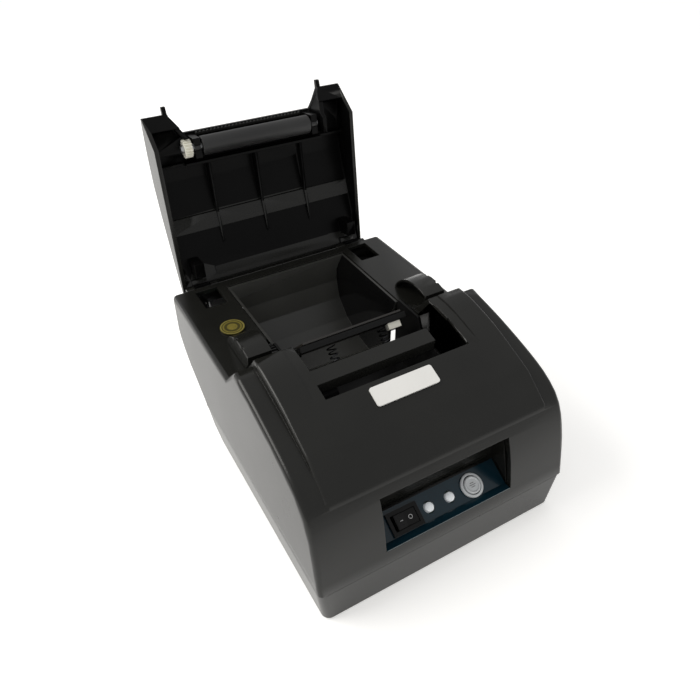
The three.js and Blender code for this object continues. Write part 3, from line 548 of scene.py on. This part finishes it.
def make_marks():
    """The dash and ring on the rocker, and three plain lines on the button."""
    dash = inked(stadium(0.75, 0.12), rocker_face(-2.4))
    ring = inked(circle(0.95), rocker_face(2.4), circle(0.7))
    marks("rocker_symbols", [dash, ring], "power_rocker", PRINT)
    dish_height = reach("feed_key", PANEL_OUT)[0] + KEY_DISH * MM
    dish = centre_line("feed_key", X, PANEL_UP) + dish_height * PANEL_OUT
    lines = [
        inked(stadium(half, 0.14), (dish + rise * MM * PANEL_UP, X, PANEL_UP, PANEL_OUT))
        for half, rise in ((0.9, 0.85), (1.5, 0.0), (0.9, -0.85))
    ]
    marks("button_lines", lines, "feed_key", GREY_PRINT)


WINDOW_HALF = 32.6
SILL = {"front": 1.3, "back": 3.7, "low": 27.84, "high": 28.0}
FILM_LAP = 0.9


def strip(name, section, half, node, look):
    """A (y, z) section in mm from the front, swept across the printer."""
    count = len(section)
    points = [at(side * half, y, z) for side in (-1, 1) for y, z in section]
    faces = [(k, (k + 1) % count, (k + 1) % count + count, k + count) for k in range(count)]
    faces += [tuple(reversed(range(count))), tuple(range(count, 2 * count))]
    marks(name, [(points, faces)], node, look)


def make_panel_film_and_highlight():
    """The overlay film runs on over the window sill, and a pale strip along its front edge is a painted highlight.
    """
    front, back, low, high = (SILL[k] for k in ("front", "back", "low", "high"))
    lap = [(back, high), (back + FILM_LAP, high - 0.25), (back + FILM_LAP, low - 0.34), (back, low)]
    film = [(front, low), (front, high), *lap]
    strip("overlay_film", film, WINDOW_HALF, "control_plate", NAVY)
    # Painted highlight: a thin pale strip stands in for the light caught by the film's front edge.
    near, far, top = front - 0.22, front - 0.03, high + 0.04
    edge = [(near, low), (near, top), (far, top), (far, low)]
    strip("overlay_edge_painted_highlight", edge, WINDOW_HALF, "control_plate", LIP_PAINTED_HIGHLIGHT)


TURNED = ("platen_roller", "feed_key", "key_ring", "power_lamp", "paper_lamp")

for node, thing in frame["nodes"].items():
    thing.data.materials.clear()
    thing.data.materials.append(LOOK_OF[node])
    if node not in TURNED:
        refined(node, thing)
make_platen()
make_panel_parts()
make_marks()
make_panel_film_and_highlight()


# ---------------------------------------------------------------- stage, light and camera


FLOOR_HALF = 12.0
FLOOR_GLOW = 0.44
SKY = 0.6
CAMERA_PLACE = (-128.0, -131.6, 264.5)
CAMERA_AZIMUTH, CAMERA_ELEVATION, CAMERA_ROLL = -28.28, 34.77, -1.25


def make_floor():
    """A wide pale floor that glows a little."""
    made, nodes, links, shader = material("pale_floor")
    where = place_on(nodes, links)
    tone = noise(nodes, links, where, 3.0, 2.0)
    links.new(ramp(nodes, links, tone, [(0.3, grey(0.86)), (0.7, grey(0.9))]), shader.inputs["Base Color"])
    shader.inputs["Roughness"].default_value = 0.7
    shader.inputs["Emission Color"].default_value = (1, 0.985, 0.95, 1)
    shader.inputs["Emission Strength"].default_value = FLOOR_GLOW
    corners = [(x * FLOOR_HALF, y * FLOOR_HALF, 0) for x, y in ((-1, -1), (1, -1), (1, 1), (-1, 1))]
    floor = new_mesh("floor", corners, [(0, 1, 2, 3)], made)


def area_light(name, where, aim, size, power, colour=(1, 1, 1)):
    data = bpy.data.lights.new(name, "AREA")
    data.shape = "RECTANGLE"
    data.size, data.size_y = size
    data.energy = power
    data.color = colour
    lamp = bpy.data.objects.new(name, data)
    bpy.context.scene.collection.objects.link(lamp)
    lamp.location = where
    lamp.rotation_mode = "QUATERNION"
    lamp.rotation_quaternion = (Vector(aim) - Vector(where)).to_track_quat("-Z", "Y")


def make_light():
    world = bpy.data.worlds.new("studio")
    bpy.context.scene.world = world
    world.use_nodes = True
    sky = world.node_tree.nodes["Background"]
    sky.inputs["Color"].default_value = (1, 1, 1, 1)
    sky.inputs["Strength"].default_value = SKY
    area_light("left_softbox", (-0.7, 0.35, 0.75), (0, 0, 0.05), (0.8, 0.6), 8.0, (1, 0.98, 0.94))


def make_camera():
    """In front of the printer, to its left and above it."""
    data = bpy.data.cameras.new("camera")
    data.sensor_width = 36.0
    data.lens = 33.69
    data.shift_x, data.shift_y = 0.0279, -0.0661
    data.clip_start, data.clip_end = 0.01, 50
    camera = bpy.data.objects.new("camera", data)
    bpy.context.scene.collection.objects.link(camera)
    angles = (CAMERA_AZIMUTH, CAMERA_ELEVATION, CAMERA_ROLL)
    azimuth, elevation, roll = (math.radians(a) for a in angles)
    flat = math.cos(elevation)
    back = Vector((math.sin(azimuth) * flat, -math.cos(azimuth) * flat, math.sin(elevation)))
    side = Z.cross(back).normalized()
    up = back.cross(side)
    turned_side = math.cos(roll) * side + math.sin(roll) * up
    turned_up = math.cos(roll) * up - math.sin(roll) * side
    basis = Matrix((turned_side, turned_up, back)).transposed().to_4x4()
    camera.matrix_world = Matrix.Translation(at(*CAMERA_PLACE)) @ basis
    bpy.context.scene.camera = camera
    bpy.context.scene.view_settings.view_transform = "Standard"


make_floor()
make_light()
make_camera()
